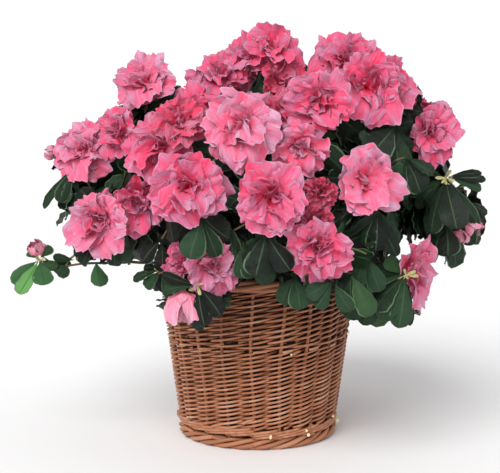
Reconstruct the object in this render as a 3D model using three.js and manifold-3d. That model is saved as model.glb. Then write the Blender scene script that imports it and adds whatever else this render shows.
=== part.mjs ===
// Azalea shrub in a round, tapered willow basket.
// Millimetres, +Z up. The origin is the middle of the basket's flat underside, and -Y is the front.
// The shrub stands on a short trunk in the potting soil. Its boughs spread inside a hollow dome of foliage
// and blossom, which is an outer shell of separate masses.
import * as THREE from "three";
import { mergeVertices } from "three/addons/utils/BufferGeometryUtils.js";
import Module from "manifold-3d";

const wasm = await Module();
wasm.setup();

// ---- Driving dimensions ----
const BASKET_HEIGHT = 134;
const FOOT_RADIUS = 62; // outside of the woven wall where it meets the ground
const MOUTH_RADIUS = 80.5; // outside of the woven wall at the rim's top
const WALL_THICKNESS = 6.5; // a stake with a weaver on each side
const FOOT_HEIGHT = 11; // rolled border round the base
const WAIST_LOW = 76; // the corded band round the middle
const WAIST_HIGH = 84;
const RIM_HEIGHT = 10; // rolled border round the mouth
const STAKES = 20; // upright rods of the wall
const STAKE_TURN = -3; // degrees that the stake nearest the front stands round from it
const RIB_DEPTH = 0.8; // how far the wall swells over each stake
const SOIL_TOP = 118;
const SLIT = 0.3; // free gap between neighbours that touch
const TRUNK_TOP = 178;
const TRUNK_LEAN = [3, -2]; // how far the trunk's top stands off the axis, in X and Y
const TRUNK_RADIUS = [8, 4.5]; // at the foot and at the top
const FLARE = 0.7; // how much wider the root flare is than the foot radius
const BOUGH_RADIUS = [3, 1.6];

// ---- Masses of foliage and blossom ----
// turn: degrees round the trunk, 0 at the front and positive to the right. reach: distance from the axis.
// height: of the middle. size: across, in and out, and up and down.
// fork: height at which the bough that carries it leaves the trunk. The others grow on from their neighbours.
const MASSES = {
  peak: { turn: 60, reach: 10, height: 290, size: [90, 88, 76], fork: 178 },
  peak_left: { turn: -58, reach: 38, height: 264, size: [82, 80, 74] },
  peak_right: { turn: 82, reach: 68, height: 272, size: [88, 92, 86], fork: 163 },
  head_left: { turn: -75, reach: 88, height: 274, size: [60, 58, 60], fork: 162 },
  head_right: { turn: 63, reach: 104, height: 262, size: [78, 66, 70] },
  brow_left: { turn: -43, reach: 101, height: 238, size: [84, 78, 74], fork: 154 },
  brow_front: { turn: -7, reach: 98, height: 240, size: [84, 78, 74], fork: 142 },
  brow_right: { turn: 28, reach: 92, height: 256, size: [78, 74, 74], fork: 153 },
  shoulder_left: { turn: -80, reach: 134, height: 222, size: [74, 64, 68], fork: 144 },
  shoulder_right: { turn: 80, reach: 130, height: 234, size: [72, 64, 70], fork: 144 },
  cheek_left: { turn: -24, reach: 122, height: 198, size: [84, 74, 76], fork: 134 },
  cheek_front: { turn: 5, reach: 118, height: 192, size: [74, 70, 70], fork: 127 },
  cheek_right: { turn: 37, reach: 122, height: 206, size: [78, 74, 74], fork: 137 },
  fan_right: { turn: 80, reach: 145, height: 184, size: [80, 78, 76], leafy: true },
  chin_left: { turn: -63, reach: 126, height: 180, size: [78, 76, 66] },
  chin_front: { turn: -3, reach: 112, height: 157, size: [66, 62, 50], leafy: true },
  chin_right: { turn: 22, reach: 126, height: 160, size: [72, 68, 58] },
  spray_left: { turn: -23, reach: 112, height: 130, size: [64, 46, 62] },
  spray_right: { turn: 54, reach: 122, height: 140, size: [68, 64, 84], leafy: true },
  shoot_left: { turn: -78, reach: 160, height: 136, size: [40, 74, 40], fork: 126, leafy: true },
  side_left: { turn: -102, reach: 132, height: 178, size: [78, 68, 66], leafy: true },
  side_right: { turn: 106, reach: 144, height: 174, size: [76, 66, 66] },
  crown_left: { turn: -114, reach: 82, height: 240, size: [80, 72, 68] },
  back_peak: { turn: 180, reach: 55, height: 270, size: [84, 78, 74] },
  back_peak_left: { turn: -142, reach: 88, height: 250, size: [88, 82, 76], fork: 156 },
  back_peak_right: { turn: 136, reach: 88, height: 254, size: [92, 84, 80], fork: 150 },
  back_shoulder_left: { turn: -114, reach: 124, height: 218, size: [84, 74, 76] },
  back_shoulder_right: { turn: 112, reach: 118, height: 222, size: [86, 80, 78] },
  back_cheek_left: { turn: -159, reach: 122, height: 208, size: [86, 74, 80], fork: 134 },
  back_cheek_right: { turn: 159, reach: 122, height: 208, size: [86, 74, 80], fork: 140 },
  back_chin_left: { turn: -132, reach: 130, height: 168, size: [88, 74, 66] },
  back_chin_right: { turn: 131, reach: 130, height: 168, size: [88, 74, 66] },
  back_chin: { turn: 180, reach: 126, height: 161, size: [84, 68, 62] },
};

// ---- Materials ----
const material = (color, roughness) => new THREE.MeshStandardMaterial({ color, roughness, metalness: 0 });
const willow = material(0x9a6a4a, 0.65);
const soil = material(0x33261d, 0.95);
const bark = material(0x6b5544, 0.85);
const blossom = material(0xe0668c, 0.6);
const foliage = material(0x2f4f38, 0.45);

const shrub = new THREE.Group();

function addPiece(name, geometry, look) {
  const mesh = new THREE.Mesh(geometry, look);
  mesh.name = name;
  shrub.add(mesh);
}

// ---- Between three.js geometry and solids ----
function solidOf(geometry) {
  const bare = geometry.clone();
  bare.deleteAttribute("normal");
  bare.deleteAttribute("uv");
  const merged = mergeVertices(bare, 1e-4);
  return new wasm.Manifold(
    new wasm.Mesh({
      numProp: 3,
      vertProperties: merged.attributes.position.array,
      triVerts: new Uint32Array(merged.index.array),
    }),
  );
}

function geometryOf(solid) {
  const mesh = solid.getMesh();
  const geometry = new THREE.BufferGeometry();
  geometry.setAttribute("position", new THREE.BufferAttribute(mesh.vertProperties, 3));
  geometry.setIndex(new THREE.BufferAttribute(mesh.triVerts, 1));
  geometry.computeVertexNormals();
  return geometry;
}

// ---- Basket ----
const wallOutside = (z) => FOOT_RADIUS + ((MOUTH_RADIUS - FOOT_RADIUS) * z) / BASKET_HEIGHT;
const wallInside = (z) => wallOutside(z) - WALL_THICKNESS;

// Turns a closed profile of [radius, height] points round the axis, with a corner or two to each stake.
function turned(profile, corners = 2) {
  const points = [...profile, profile[0]].map(([radius, z]) => new THREE.Vector2(radius, z));
  const round = new THREE.LatheGeometry(points, corners * STAKES).rotateX(Math.PI / 2);
  return round.rotateZ(THREE.MathUtils.degToRad(STAKE_TURN));
}

// A length of wall between two heights, swollen outside over each stake.
function ribbedWall(low, high, proud) {
  const geometry = turned([
    [wallInside(low), low],
    [wallOutside(low) + proud, low],
    [wallOutside(high) + proud, high],
    [wallInside(high), high],
  ]);
  const at = geometry.attributes.position;
  const point = new THREE.Vector3();
  for (let i = 0; i < at.count; i++) {
    point.fromBufferAttribute(at, i);
    const radius = Math.hypot(point.x, point.y);
    if (radius < wallInside(point.z) + WALL_THICKNESS / 2) continue;
    const turn = Math.atan2(point.x, -point.y) - THREE.MathUtils.degToRad(STAKE_TURN);
    const swell = RIB_DEPTH * Math.cos(STAKES * turn);
    at.setXYZ(i, point.x * (1 + swell / radius), point.y * (1 + swell / radius), point.z);
  }
  return geometry;
}

function addBasket() {
  const baseRadius = wallInside(0) - 3;
  const baseProfile = [[0, 0], [baseRadius, 0], [baseRadius, FOOT_HEIGHT], [0, FOOT_HEIGHT]];
  addPiece("basket_base", turned(baseProfile, 1), willow);
  const footInside = baseRadius + SLIT;
  const footOutside = wallOutside(FOOT_HEIGHT) + 0.5;
  addPiece(
    "basket_foot_border",
    turned([
      [footInside, 0],
      [footOutside - 3, 0],
      [footOutside, 3],
      [footOutside, FOOT_HEIGHT],
      [footInside, FOOT_HEIGHT],
    ]),
    willow,
  );
  const rimLow = BASKET_HEIGHT - RIM_HEIGHT;
  addPiece("basket_lower_weave", ribbedWall(FOOT_HEIGHT, WAIST_LOW, 0), willow);
  addPiece("basket_waist_band", ribbedWall(WAIST_LOW, WAIST_HIGH, 1), willow);
  addPiece("basket_upper_weave", ribbedWall(WAIST_HIGH, rimLow, 0), willow);
  const rimInside = wallInside(rimLow) - 0.5;
  const rimOutside = wallOutside(BASKET_HEIGHT) + 1.5;
  addPiece(
    "basket_rim_border",
    turned([
      [rimInside, rimLow],
      [rimOutside, rimLow],
      [rimOutside, BASKET_HEIGHT - 3],
      [rimOutside - 3, BASKET_HEIGHT],
      [rimInside, BASKET_HEIGHT],
    ]),
    willow,
  );
}

function addSoil() {
  addPiece(
    "potting_soil",
    turned(
      [
        [0, FOOT_HEIGHT],
        [wallInside(FOOT_HEIGHT) - SLIT, FOOT_HEIGHT],
        [wallInside(SOIL_TOP) - SLIT, SOIL_TOP],
        [0, SOIL_TOP],
      ],
      1,
    ),
    soil,
  );
}

// ---- Limbs ----
// A closed limb along a curve. radiusAt gives the radius at a share of the length.
function limbAlong(curve, radiusAt, sides, steps) {
  const geometry = new THREE.CylinderGeometry(1, 1, 1, sides, steps);
  const at = geometry.attributes.position;
  for (let i = 0; i < at.count; i++) {
    const share = at.getY(i) + 0.5;
    const forward = curve.getTangentAt(share);
    const sideways = new THREE.Vector3(0, 1, 0.3).cross(forward).normalize();
    const upward = forward.clone().cross(sideways);
    const point = curve
      .getPointAt(share)
      .addScaledVector(sideways, at.getZ(i) * radiusAt(share))
      .addScaledVector(upward, at.getX(i) * radiusAt(share));
    at.setXYZ(i, point.x, point.y, point.z);
  }
  return geometry;
}

const trunkTop = new THREE.Vector3(...TRUNK_LEAN, TRUNK_TOP);
const trunkLine = new THREE.LineCurve3(new THREE.Vector3(0, 0, SOIL_TOP), trunkTop);

// The trunk tapers evenly above its root flare. A margin all round gives the room its boughs keep clear of.
function trunkSolid(margin) {
  const [foot, top] = TRUNK_RADIUS;
  const radiusAt = (share) => THREE.MathUtils.lerp(foot, top, share) * (1 + FLARE * Math.exp(-9 * share)) + margin;
  const raisedTop = trunkTop.clone().setZ(TRUNK_TOP + margin);
  const line = new THREE.LineCurve3(trunkLine.v1, raisedTop);
  return solidOf(limbAlong(line, radiusAt, 10, 8)).trimByPlane([0, 0, 1], SOIL_TOP);
}

// ---- Masses ----
const DETAIL = 3;
const LOBES = 4;
const LOBE_PITCH = 4.2;
const UNEVENNESS = 0.045;

function massCentre({ turn, reach, height }) {
  const angle = THREE.MathUtils.degToRad(turn);
  return new THREE.Vector3(reach * Math.sin(angle), -reach * Math.cos(angle), height);
}

// How far the surface stands from even in a direction: a few broad waves, other ones for each mass.
function unevenness(direction, seed) {
  let swell = 0;
  for (let lobe = 0; lobe < LOBES; lobe++) {
    const axis = new THREE.Vector3().setFromSphericalCoords(1, 1.7 * seed + 2.4 * lobe, 2.9 * seed + 1.9 * lobe);
    swell += Math.cos(LOBE_PITCH * direction.dot(axis) + seed * (lobe + 1));
  }
  return 1 + UNEVENNESS * swell;
}

function massSolid(mass, seed) {
  const geometry = new THREE.OctahedronGeometry(0.5, DETAIL);
  const at = geometry.attributes.position;
  const point = new THREE.Vector3();
  for (let i = 0; i < at.count; i++) {
    point.fromBufferAttribute(at, i);
    point.multiplyScalar(unevenness(point.clone().normalize(), seed));
    at.setXYZ(i, point.x, point.y, point.z);
  }
  geometry.scale(...mass.size);
  geometry.rotateZ(THREE.MathUtils.degToRad(mass.turn));
  const centre = massCentre(mass);
  geometry.translate(centre.x, centre.y, centre.z);
  return solidOf(geometry);
}

// A mass's half thickness in a direction, as if it were an even ellipsoid.
function halfThickness(mass, direction) {
  const local = direction.clone().applyAxisAngle(new THREE.Vector3(0, 0, 1), -THREE.MathUtils.degToRad(mass.turn));
  const [across, deep, tall] = mass.size;
  return 0.5 / Math.hypot(local.x / across, local.y / deep, local.z / tall);
}

// Two masses that meet are each cut flat, half a slit short of the plane between them.
function cutApart(solids) {
  const names = Object.keys(MASSES);
  names.forEach((name, i) =>
    names.slice(i + 1).forEach((other) => {
      const from = massCentre(MASSES[name]);
      const way = massCentre(MASSES[other]).sub(from);
      const distance = way.length();
      way.normalize();
      const mine = halfThickness(MASSES[name], way);
      const theirs = halfThickness(MASSES[other], way);
      if (1.25 * (mine + theirs) < distance) return;
      const plane = way.dot(from) + (distance * mine) / (mine + theirs);
      solids[name] = solids[name].trimByPlane(way.clone().negate().toArray(), SLIT / 2 - plane);
      solids[other] = solids[other].trimByPlane(way.toArray(), plane + SLIT / 2);
    }),
  );
}

function addMasses() {
  const solids = {};
  Object.keys(MASSES).forEach((name, i) => {
    solids[name] = massSolid(MASSES[name], i + 1);
  });
  cutApart(solids);
  for (const [name, solid] of Object.entries(solids)) {
    addPiece(`mass_${name}`, geometryOf(solid), MASSES[name].leafy ? foliage : blossom);
  }
  return solids;
}

// ---- Boughs ----
// A bough leaves the trunk, arches outwards and ends a slit short of the mass it carries.
function boughCurve(mass) {
  const foot = trunkLine.getPointAt((mass.fork - SOIL_TOP) / (TRUNK_TOP - SOIL_TOP));
  const end = massCentre(mass);
  const bend = foot.clone().lerp(end, 0.45);
  bend.z += 0.12 * foot.distanceTo(end);
  return new THREE.QuadraticBezierCurve3(foot, bend, end);
}

function addBoughs(masses) {
  const room = Object.entries(masses).map(([name, solid]) => {
    const centre = massCentre(MASSES[name]).toArray();
    const back = centre.map((value) => -value);
    const grow = 1 + (2 * SLIT) / Math.min(...MASSES[name].size) + 0.006;
    return solid.translate(back).scale([grow, grow, grow]).translate(centre);
  });
  const trunkRoom = trunkSolid(SLIT);
  const [thick, thin] = BOUGH_RADIUS;
  for (const [name, mass] of Object.entries(MASSES)) {
    if (!mass.fork) continue;
    const limb = limbAlong(boughCurve(mass), (along) => THREE.MathUtils.lerp(thick, thin, along), 6, 4);
    let solid = solidOf(limb).subtract(trunkRoom);
    for (const neighbour of room) solid = solid.subtract(neighbour);
    const pieces = solid.decompose().sort((a, b) => b.volume() - a.volume());
    addPiece(`bough_${name}`, geometryOf(pieces[0]), bark);
  }
}

addBasket();
addSoil();
addPiece("trunk", geometryOf(trunkSolid(0)), bark);
addBoughs(addMasses());

export default shrub;
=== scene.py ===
"""Azalea shrub in a round willow basket: woven basket, potting soil, bark, twigs, leaves and double flowers.

Everything is in metres, +Z up, with the front towards -Y. A turn is in degrees round the trunk, 0 at the
front and positive to the right, and a pitch is in degrees above the horizontal.
"""

import math

import bpy
import numpy as np
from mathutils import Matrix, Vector
from mathutils.bvhtree import BVHTree


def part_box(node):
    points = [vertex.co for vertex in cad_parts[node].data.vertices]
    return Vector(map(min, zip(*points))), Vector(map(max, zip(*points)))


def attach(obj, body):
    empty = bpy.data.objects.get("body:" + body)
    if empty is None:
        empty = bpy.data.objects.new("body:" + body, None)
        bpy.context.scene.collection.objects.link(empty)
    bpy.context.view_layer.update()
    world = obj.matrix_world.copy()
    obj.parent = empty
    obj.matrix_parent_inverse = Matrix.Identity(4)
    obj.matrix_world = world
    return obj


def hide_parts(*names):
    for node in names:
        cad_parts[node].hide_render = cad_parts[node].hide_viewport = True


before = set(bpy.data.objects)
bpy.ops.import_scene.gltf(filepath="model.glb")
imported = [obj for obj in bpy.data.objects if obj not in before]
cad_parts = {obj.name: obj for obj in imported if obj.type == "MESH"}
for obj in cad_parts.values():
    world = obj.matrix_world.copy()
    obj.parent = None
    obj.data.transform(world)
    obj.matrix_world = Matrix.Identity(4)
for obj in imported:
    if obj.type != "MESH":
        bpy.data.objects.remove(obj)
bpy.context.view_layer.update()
rng = np.random.default_rng(20)
UP = np.array([0.0, 0.0, 1.0])
MM = 0.001
ROUND = 6.28  # about a whole turn in radians, for random turns and phases
GOLDEN = 2.39996  # the golden angle in radians, which spreads things evenly


# ---- vectors
def unit(vectors):
    vectors = np.asarray(vectors, float)
    return vectors / np.maximum(np.linalg.norm(vectors, axis=-1, keepdims=True), 1e-12)


def heading(turn, pitch):
    """The direction with this turn and pitch."""
    turn, pitch = math.radians(turn), math.radians(pitch)
    return np.array([math.sin(turn) * math.cos(pitch), -math.cos(turn) * math.cos(pitch), math.sin(pitch)])


def basis(axis, spin):
    """Two directions square to each axis (n, 3) and to each other, spun round it by spin (n,) radians."""
    axis = unit(axis)
    aside = np.where(np.abs(axis[:, 2:3]) > 0.9, [[1.0, 0.0, 0.0]], [[0.0, 0.0, 1.0]])
    first = unit(np.cross(aside, axis))
    second = np.cross(axis, first)
    cos, sin = np.cos(spin)[:, None], np.sin(spin)[:, None]
    return first * cos + second * sin, second * cos - first * sin


def smooth(x):
    x = np.clip(x, 0, 1)
    return x * x * (3 - 2 * x)


def waves(x, seed):
    """A smooth uneven curve of x, about -1 to 1."""
    dice = np.random.default_rng(seed)
    total = 0
    for k in (1, 2, 3, 4):
        total = total + dice.uniform(0.4, 1) * np.sin(dice.uniform(0.6, 1.4) * k * x + dice.uniform(0, ROUND))
    return total / 2.8


# ---- materials
def principled(name, color, roughness, **sockets):
    look = bpy.data.materials.new(name)
    look.use_nodes = True
    shader = look.node_tree.nodes["Principled BSDF"]
    shader.inputs["Base Color"].default_value = (*color, 1)
    shader.inputs["Roughness"].default_value = roughness
    for socket, value in sockets.items():
        shader.inputs[socket.replace("_", " ")].default_value = value
    return look


def srgb(*screen):
    """Scene-linear colour of an 8-bit screen colour."""
    shares = [value / 255 for value in screen]
    return tuple(c / 12.92 if c <= 0.04045 else ((c + 0.055) / 1.055) ** 2.4 for c in shares)


def add_node(tree, kind, **sockets):
    node = tree.nodes.new("ShaderNode" + kind)
    for socket, value in sockets.items():
        node.inputs[socket.replace("_", " ")].default_value = value
    return node


def grain(look, scale, strength, distance, rough, uv=False, stretch=(1, 1, 1)):
    """Adds a noise relief, and a roughness that varies between the two values of rough."""
    tree = look.node_tree
    shader = tree.nodes["Principled BSDF"]
    place = add_node(tree, "TexCoord")
    mapping = add_node(tree, "Mapping", Scale=stretch)
    noise = add_node(tree, "TexNoise", Scale=scale, Detail=3)
    bump = add_node(tree, "Bump", Strength=strength, Distance=distance)
    spread = add_node(tree, "MapRange", To_Min=rough[0], To_Max=rough[1])
    tree.links.new(place.outputs["UV" if uv else "Object"], mapping.inputs["Vector"])
    tree.links.new(mapping.outputs["Vector"], noise.inputs["Vector"])
    tree.links.new(noise.outputs["Fac"], bump.inputs["Height"])
    tree.links.new(bump.outputs["Normal"], shader.inputs["Normal"])
    tree.links.new(noise.outputs["Fac"], spread.inputs["Value"])
    tree.links.new(spread.outputs["Result"], shader.inputs["Roughness"])
    return look


# ---- mesh pieces
class Piece:
    """Collects grids of four-cornered faces, each face with the number of its look, and makes one mesh."""

    def __init__(self):
        self.points, self.faces, self.looks, self.places, self.count = [], [], [], [], 0

    def grids(self, points, looks, closed=False, places=0):
        """points is (n, rows, columns, 3), looks fits (n, rows - 1, columns), and places is for the grain."""
        n, rows, columns, _ = points.shape
        at = self.count + np.arange(n * rows * columns).reshape(n, rows, columns)
        right = np.roll(at, -1, axis=2) if closed else at[:, :, 1:]
        left = at if closed else at[:, :, :-1]
        faces = np.stack([left[:, :-1], right[:, :-1], right[:, 1:], left[:, 1:]], axis=-1)
        self.points.append(points.reshape(-1, 3))
        self.faces.append(faces.reshape(-1, 4))
        self.looks.append(np.broadcast_to(looks, faces.shape[:-1]).reshape(-1))
        self.places.append(np.broadcast_to(places, (n, rows, columns, 2)).reshape(-1, 2))
        self.count += n * rows * columns

    def make(self, name, looks, slot, stands_for=()):
        points = np.concatenate(self.points).astype(np.float32)
        faces = np.concatenate(self.faces).astype(np.int32)
        mesh = bpy.data.meshes.new(name)
        mesh.vertices.add(len(points))
        mesh.vertices.foreach_set("co", points.ravel())
        mesh.loops.add(faces.size)
        mesh.loops.foreach_set("vertex_index", faces.ravel())
        mesh.polygons.add(len(faces))
        mesh.polygons.foreach_set("loop_start", np.arange(0, faces.size, 4, dtype=np.int32))
        for look in looks:
            mesh.materials.append(look)
        mesh.polygons.foreach_set("material_index", np.concatenate(self.looks).astype(np.int32))
        mesh.update(calc_edges=True)
        uv = mesh.uv_layers.new(name="place")
        uv.data.foreach_set("uv", np.concatenate(self.places)[faces.ravel()].astype(np.float32).ravel())
        mesh.shade_smooth()
        piece = bpy.data.objects.new(name, mesh)
        bpy.context.scene.collection.objects.link(piece)
        if stands_for:
            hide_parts(*stands_for)
        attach(piece, "root")
        print(name, 2 * len(faces), "triangles")


def tube_grid(paths, radii, sides, level=False):
    """Tubes along paths (n, m, 3) with radii (n, m). level is for paths that go round the axis."""
    along = unit(np.gradient(paths, axis=1))
    mean = unit(paths[:, -1] - paths[:, 0])
    steep = np.abs(mean[:, 2:3]) > 0.8
    aside = UP if level else np.where(steep, [[0.0, 1.0, 0.1]], [[0.1, 0.0, 1.0]])[:, None]
    first = unit(np.cross(np.broadcast_to(aside, along.shape), along))
    second = np.cross(along, first)
    turn = np.linspace(0, 2 * np.pi, sides, endpoint=False)
    ring = first[:, :, None] * np.cos(turn)[:, None] + second[:, :, None] * np.sin(turn)[:, None]
    return paths[:, :, None] + ring * radii[:, :, None, None]


def closed_ends(paths, radii):
    """Adds a point at each end that closes the tube to almost nothing."""
    start = paths[:, :1] - 0.02 * (paths[:, 1:2] - paths[:, :1])
    end = paths[:, -1:] + 0.02 * (paths[:, -1:] - paths[:, -2:-1])
    paths = np.concatenate([start, paths, end], axis=1)
    radii = np.concatenate([radii[:, :1] * 0.05, radii, radii[:, -1:] * 0.05], axis=1)
    return paths, radii


def bezier(start, bend, end, m):
    """Curves from start by bend to end, each (n, 3), as (n, m, 3)."""
    t = np.linspace(0, 1, m)[None, :, None]
    start, bend, end = start[:, None], bend[:, None], end[:, None]
    return start * (1 - t) ** 2 + 2 * bend * t * (1 - t) + end * t * t


# ---- camera
EYE = (-0.006, -1.0, 0.272)
AIM = (-0.006, 0, 0.158)
LENS, SENSOR = 90.6, 36

camera = bpy.data.objects.new("camera", bpy.data.cameras.new("camera"))
bpy.context.scene.collection.objects.link(camera)
camera.location = EYE
camera.rotation_euler = (Vector(AIM) - camera.location).to_track_quat("-Z", "Y").to_euler()
camera.data.lens = LENS
camera.data.sensor_width = SENSOR
bpy.context.scene.camera = camera

# ---- basket
STAKES = 20
STAKE_TURN = -3
STAKE_RADIUS = 1.4 * MM
ROD_RADIUS = 0.88 * MM
STAKES_IN = 4.05 * MM  # from the outside of the wall to the middles of the stakes
SOIL_IN = 3.9 * MM  # from the middles of the stakes to the edge of the soil
BASE_Z = 3.4 * MM
WALL_RADIUS = 68 * MM  # about half way up, for the lengths of the cut ends
CUT_ENDS = [3, 4, 5]  # their willow looks

foot_low, foot_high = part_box("basket_foot_border")
rim_low, rim_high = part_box("basket_rim_border")
lower_low, lower_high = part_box("basket_lower_weave")
waist_low, waist_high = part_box("basket_waist_band")
upper_low, upper_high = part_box("basket_upper_weave")
soil_low, soil_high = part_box("potting_soil")

ROD_TINTS = [(80, 42, 22), (112, 64, 38), (138, 82, 52), (156, 98, 66)]
ROD_TINTS += [(170, 110, 77), (178, 124, 94), (188, 142, 116)]
WILLOW = [
    grain(principled(f"willow_{i}", srgb(*tint), 0.5), 900, 0.35, 0.4 * MM, (0.4, 0.65))
    for i, tint in enumerate(ROD_TINTS)
]
PALE_CUT = len(WILLOW)
WILLOW.append(principled("willow_cut", srgb(238, 218, 172), 0.7))
TINT_ODDS = [0.04, 0.1, 0.2, 0.28, 0.22, 0.12, 0.04]


def wall_middle(z):
    """Distance of the stakes' middles from the axis at a height."""
    slope = (upper_high.y - lower_high.y) / (upper_high.z - lower_high.z)
    return lower_high.y + (z - lower_high.z) * slope - STAKES_IN


def round_axis(radius, turn, z):
    """Points at a distance from the axis, a turn in radians and a height."""
    return np.stack(np.broadcast_arrays(radius * np.sin(turn), -radius * np.cos(turn), z), axis=-1)


def stake_turn(stake):
    """The turn in radians of a stake number, which may lie between two."""
    return np.radians(STAKE_TURN + 360 / STAKES * stake)


def round_wall(stake, z, out):
    """Points at a stake number, a height, and a distance out from the stakes."""
    return round_axis(wall_middle(z) + out, stake_turn(stake), z)


def dealt(tone):
    """The number of the willow look nearest to each tone, from dark to light."""
    return np.clip(np.round(tone), 0, len(ROD_TINTS) - 1).astype(int)


def add_rods(piece, stake, z, out, radius, looks, sides=8):
    """Rods with a row each in stake, z and out, which give their path, and in looks."""
    paths, radii = closed_ends(round_wall(stake, z, out), np.broadcast_to(radius, stake.shape))
    piece.grids(tube_grid(paths, radii, sides, level=True), looks[:, :, None], closed=True)


def add_randing(piece, low, high, layer, starts, tint):
    """Rods, starts of them side by side, that climb in front of one stake and behind the next."""
    climb = starts * layer / STAKES
    length = (high - low) / climb
    number = np.arange(starts)[:, None]
    first = number * (STAKES / starts)
    stake = first + np.linspace(0, length, int(length * 6))[None]
    z = low + (stake - first) * climb
    crest = np.cos(np.pi * (stake + number))
    out = (STAKE_RADIUS + ROD_RADIUS) * np.where(crest > 0, 1.1, 1.5) * crest
    z = z + 0.22 * MM * waves(stake * 0.7, 3) + rng.normal(0, 0.12 * MM, (starts, 1))
    thick = ROD_RADIUS * rng.uniform(0.86, 1.1, (starts, 1)) * (1.08 - 0.16 * (stake - first) / length)
    # painted shade and painted highlight: a rod's tone drops where it passes behind a stake and rises on its
    # crest in front of one
    tone = rng.normal(tint, 0.8, (starts, 1)) + 1.5 * crest + 0.5 * np.sin(2.1 * stake + 5 * number)
    tone = tone + rng.normal(0, 0.3, stake.shape)
    tone = np.concatenate([tone[:, :1], tone, tone[:, -1:]], axis=1)
    add_rods(piece, stake, z, out, thick, dealt((tone[:, 1:] + tone[:, :-1]) / 2))


def add_waling(piece, low, high, rounds, radius):
    """Three rods that take turns in front of two stakes and behind one, like a rope laid round the wall."""
    number = np.arange(3)[:, None]
    stake = np.linspace(0, rounds * STAKES, rounds * STAKES * 6)[None] + 0 * number
    share = ((stake + number) / 3) % 1
    outside = smooth(np.minimum(share, 2 / 3 - share) * 5 + 0.5) * (share < 0.84)
    outside += smooth((share - 0.86) * 7) * (share > 0.84)
    rise = (high - low) / rounds
    slant = np.where(share < 2 / 3, share * 1.5 - 0.5, 0.5 - (share - 2 / 3) * 3)
    z = low + rise / 2 + stake / STAKES * rise * (rounds - 1) / rounds + slant * rise
    # painted shade and painted highlight: a rod's tone is low where it goes behind the stakes and high where
    # it lies outside them
    tone = 1.6 + 2.4 * outside + 0.5 * np.sin(1.7 * stake + 2 * number) + rng.normal(0, 0.3, stake.shape)
    out = (STAKE_RADIUS + radius) * (2 * outside - 1)
    looks = dealt(np.concatenate([tone, tone[:, -1:]], axis=1))
    add_rods(piece, stake, z, out, radius * (1 + 0.08 * waves(stake, 5)), looks)


def add_butts(piece, stakes, stray, low, high, out, slopes, length, radii):
    """Rod ends with a pale cut face, which start between low and high. slopes and radii are ranges too."""
    count = len(stakes)
    at = stakes + rng.uniform(-stray, stray, count)
    height = rng.uniform(low, high, count)[:, None]
    slope = rng.uniform(*slopes, count)[:, None]
    radius = rng.uniform(*radii, count)[:, None]
    looks = rng.choice(CUT_ENDS, size=(count, 1, 1))
    share = np.linspace(0, 1, 6)[None]
    stake = at[:, None] + share * length / (2 * np.pi * WALL_RADIUS / STAKES)
    offset = out + (1 - smooth(share * 1.4)) * 1.2 * MM - share * 2.2 * MM
    paths = round_wall(stake, height + share * slope * length, offset)
    piece.grids(tube_grid(paths, radius + 0 * stake, 8, level=True), looks, closed=True)
    face = paths[:, :2].copy()
    face[:, 1] = paths[:, 0] - 0.06 * (paths[:, 1] - paths[:, 0])
    piece.grids(tube_grid(face, radius * [[1.02, 0.05]], 8, level=True), PALE_CUT, closed=True)


def add_border(piece, middle_radius, z, strand_radius, lay, pitch, looks):
    """A rolled border: strands laid round each other like a rope, pitch stakes to a full twist."""
    strands = len(looks)
    number = np.arange(strands)[:, None]
    stake = np.linspace(0, STAKES, STAKES * 14)[None] + 0 * number
    twist = 2 * np.pi * (stake / pitch + number / strands)
    paths = round_axis(middle_radius + lay * np.cos(twist), stake_turn(stake), z + lay * np.sin(twist))
    radii = strand_radius * (1 + 0.06 * waves(stake * 1.3, 8))
    piece.grids(tube_grid(paths, radii, 10, level=True), np.array(looks)[:, None, None], closed=True)


def build_stakes():
    stakes = Piece()
    number = np.arange(STAKES)[:, None]
    stake = number + rng.uniform(-0.08, 0.08, (STAKES, 1))
    z = np.linspace(foot_low.z + 8 * MM, rim_low.z + 3 * MM, 24)[None] + 0 * stake
    radius = STAKE_RADIUS * rng.uniform(0.92, 1.08, (STAKES, 1))
    looks = rng.choice([2, 3, 4], size=(STAKES, 1))
    add_rods(stakes, stake + 0.05 * np.sin(z * 60 + number), z, 0 * z, radius, looks, sides=10)
    stakes.make("basket_stakes", WILLOW, "willow")


def build_lower():
    lower = Piece()
    low, high = lower_low.z, waist_low.z
    add_randing(lower, low + 5.5 * MM, high + 2 * MM, layer=1.7 * MM, starts=50, tint=3.1)
    add_waling(lower, low - 1.5 * MM, low + 6.5 * MM, rounds=2, radius=1.15 * MM)
    evens = np.arange(0, STAKES, 2)
    thick = (0.9 * MM, 1.4 * MM)
    add_butts(lower, evens, 0.4, 13 * MM, 22 * MM, 2.9 * MM, (0.1, 0.5), 9 * MM, thick)
    lower.make("basket_lower_rods", WILLOW, "willow", ["basket_lower_weave"])


def build_waist():
    waist = Piece()
    low, high = waist_low.z, waist_high.z
    add_randing(waist, low + 2.2 * MM, high + 0.6 * MM, layer=2 * MM, starts=20, tint=3.4)
    thirds = np.arange(1, STAKES, 3)
    thick = (0.8 * MM, 1.1 * MM)
    add_butts(waist, thirds, 0.4, low - 1 * MM, low + 9 * MM, 2.8 * MM, (0.0, 0.3), 8 * MM, thick)
    waist.make("basket_waist_rods", WILLOW, "willow", ["basket_waist_band"])


def build_upper():
    upper = Piece()
    # The upper rods take darker tones: partly a darker willow, partly painted shade from the foliage above.
    add_randing(upper, upper_low.z + 1.2 * MM, rim_low.z + 2 * MM, layer=2.1 * MM, starts=40, tint=2.1)
    upper.make("basket_upper_rods", WILLOW, "willow", ["basket_upper_weave"])


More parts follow.
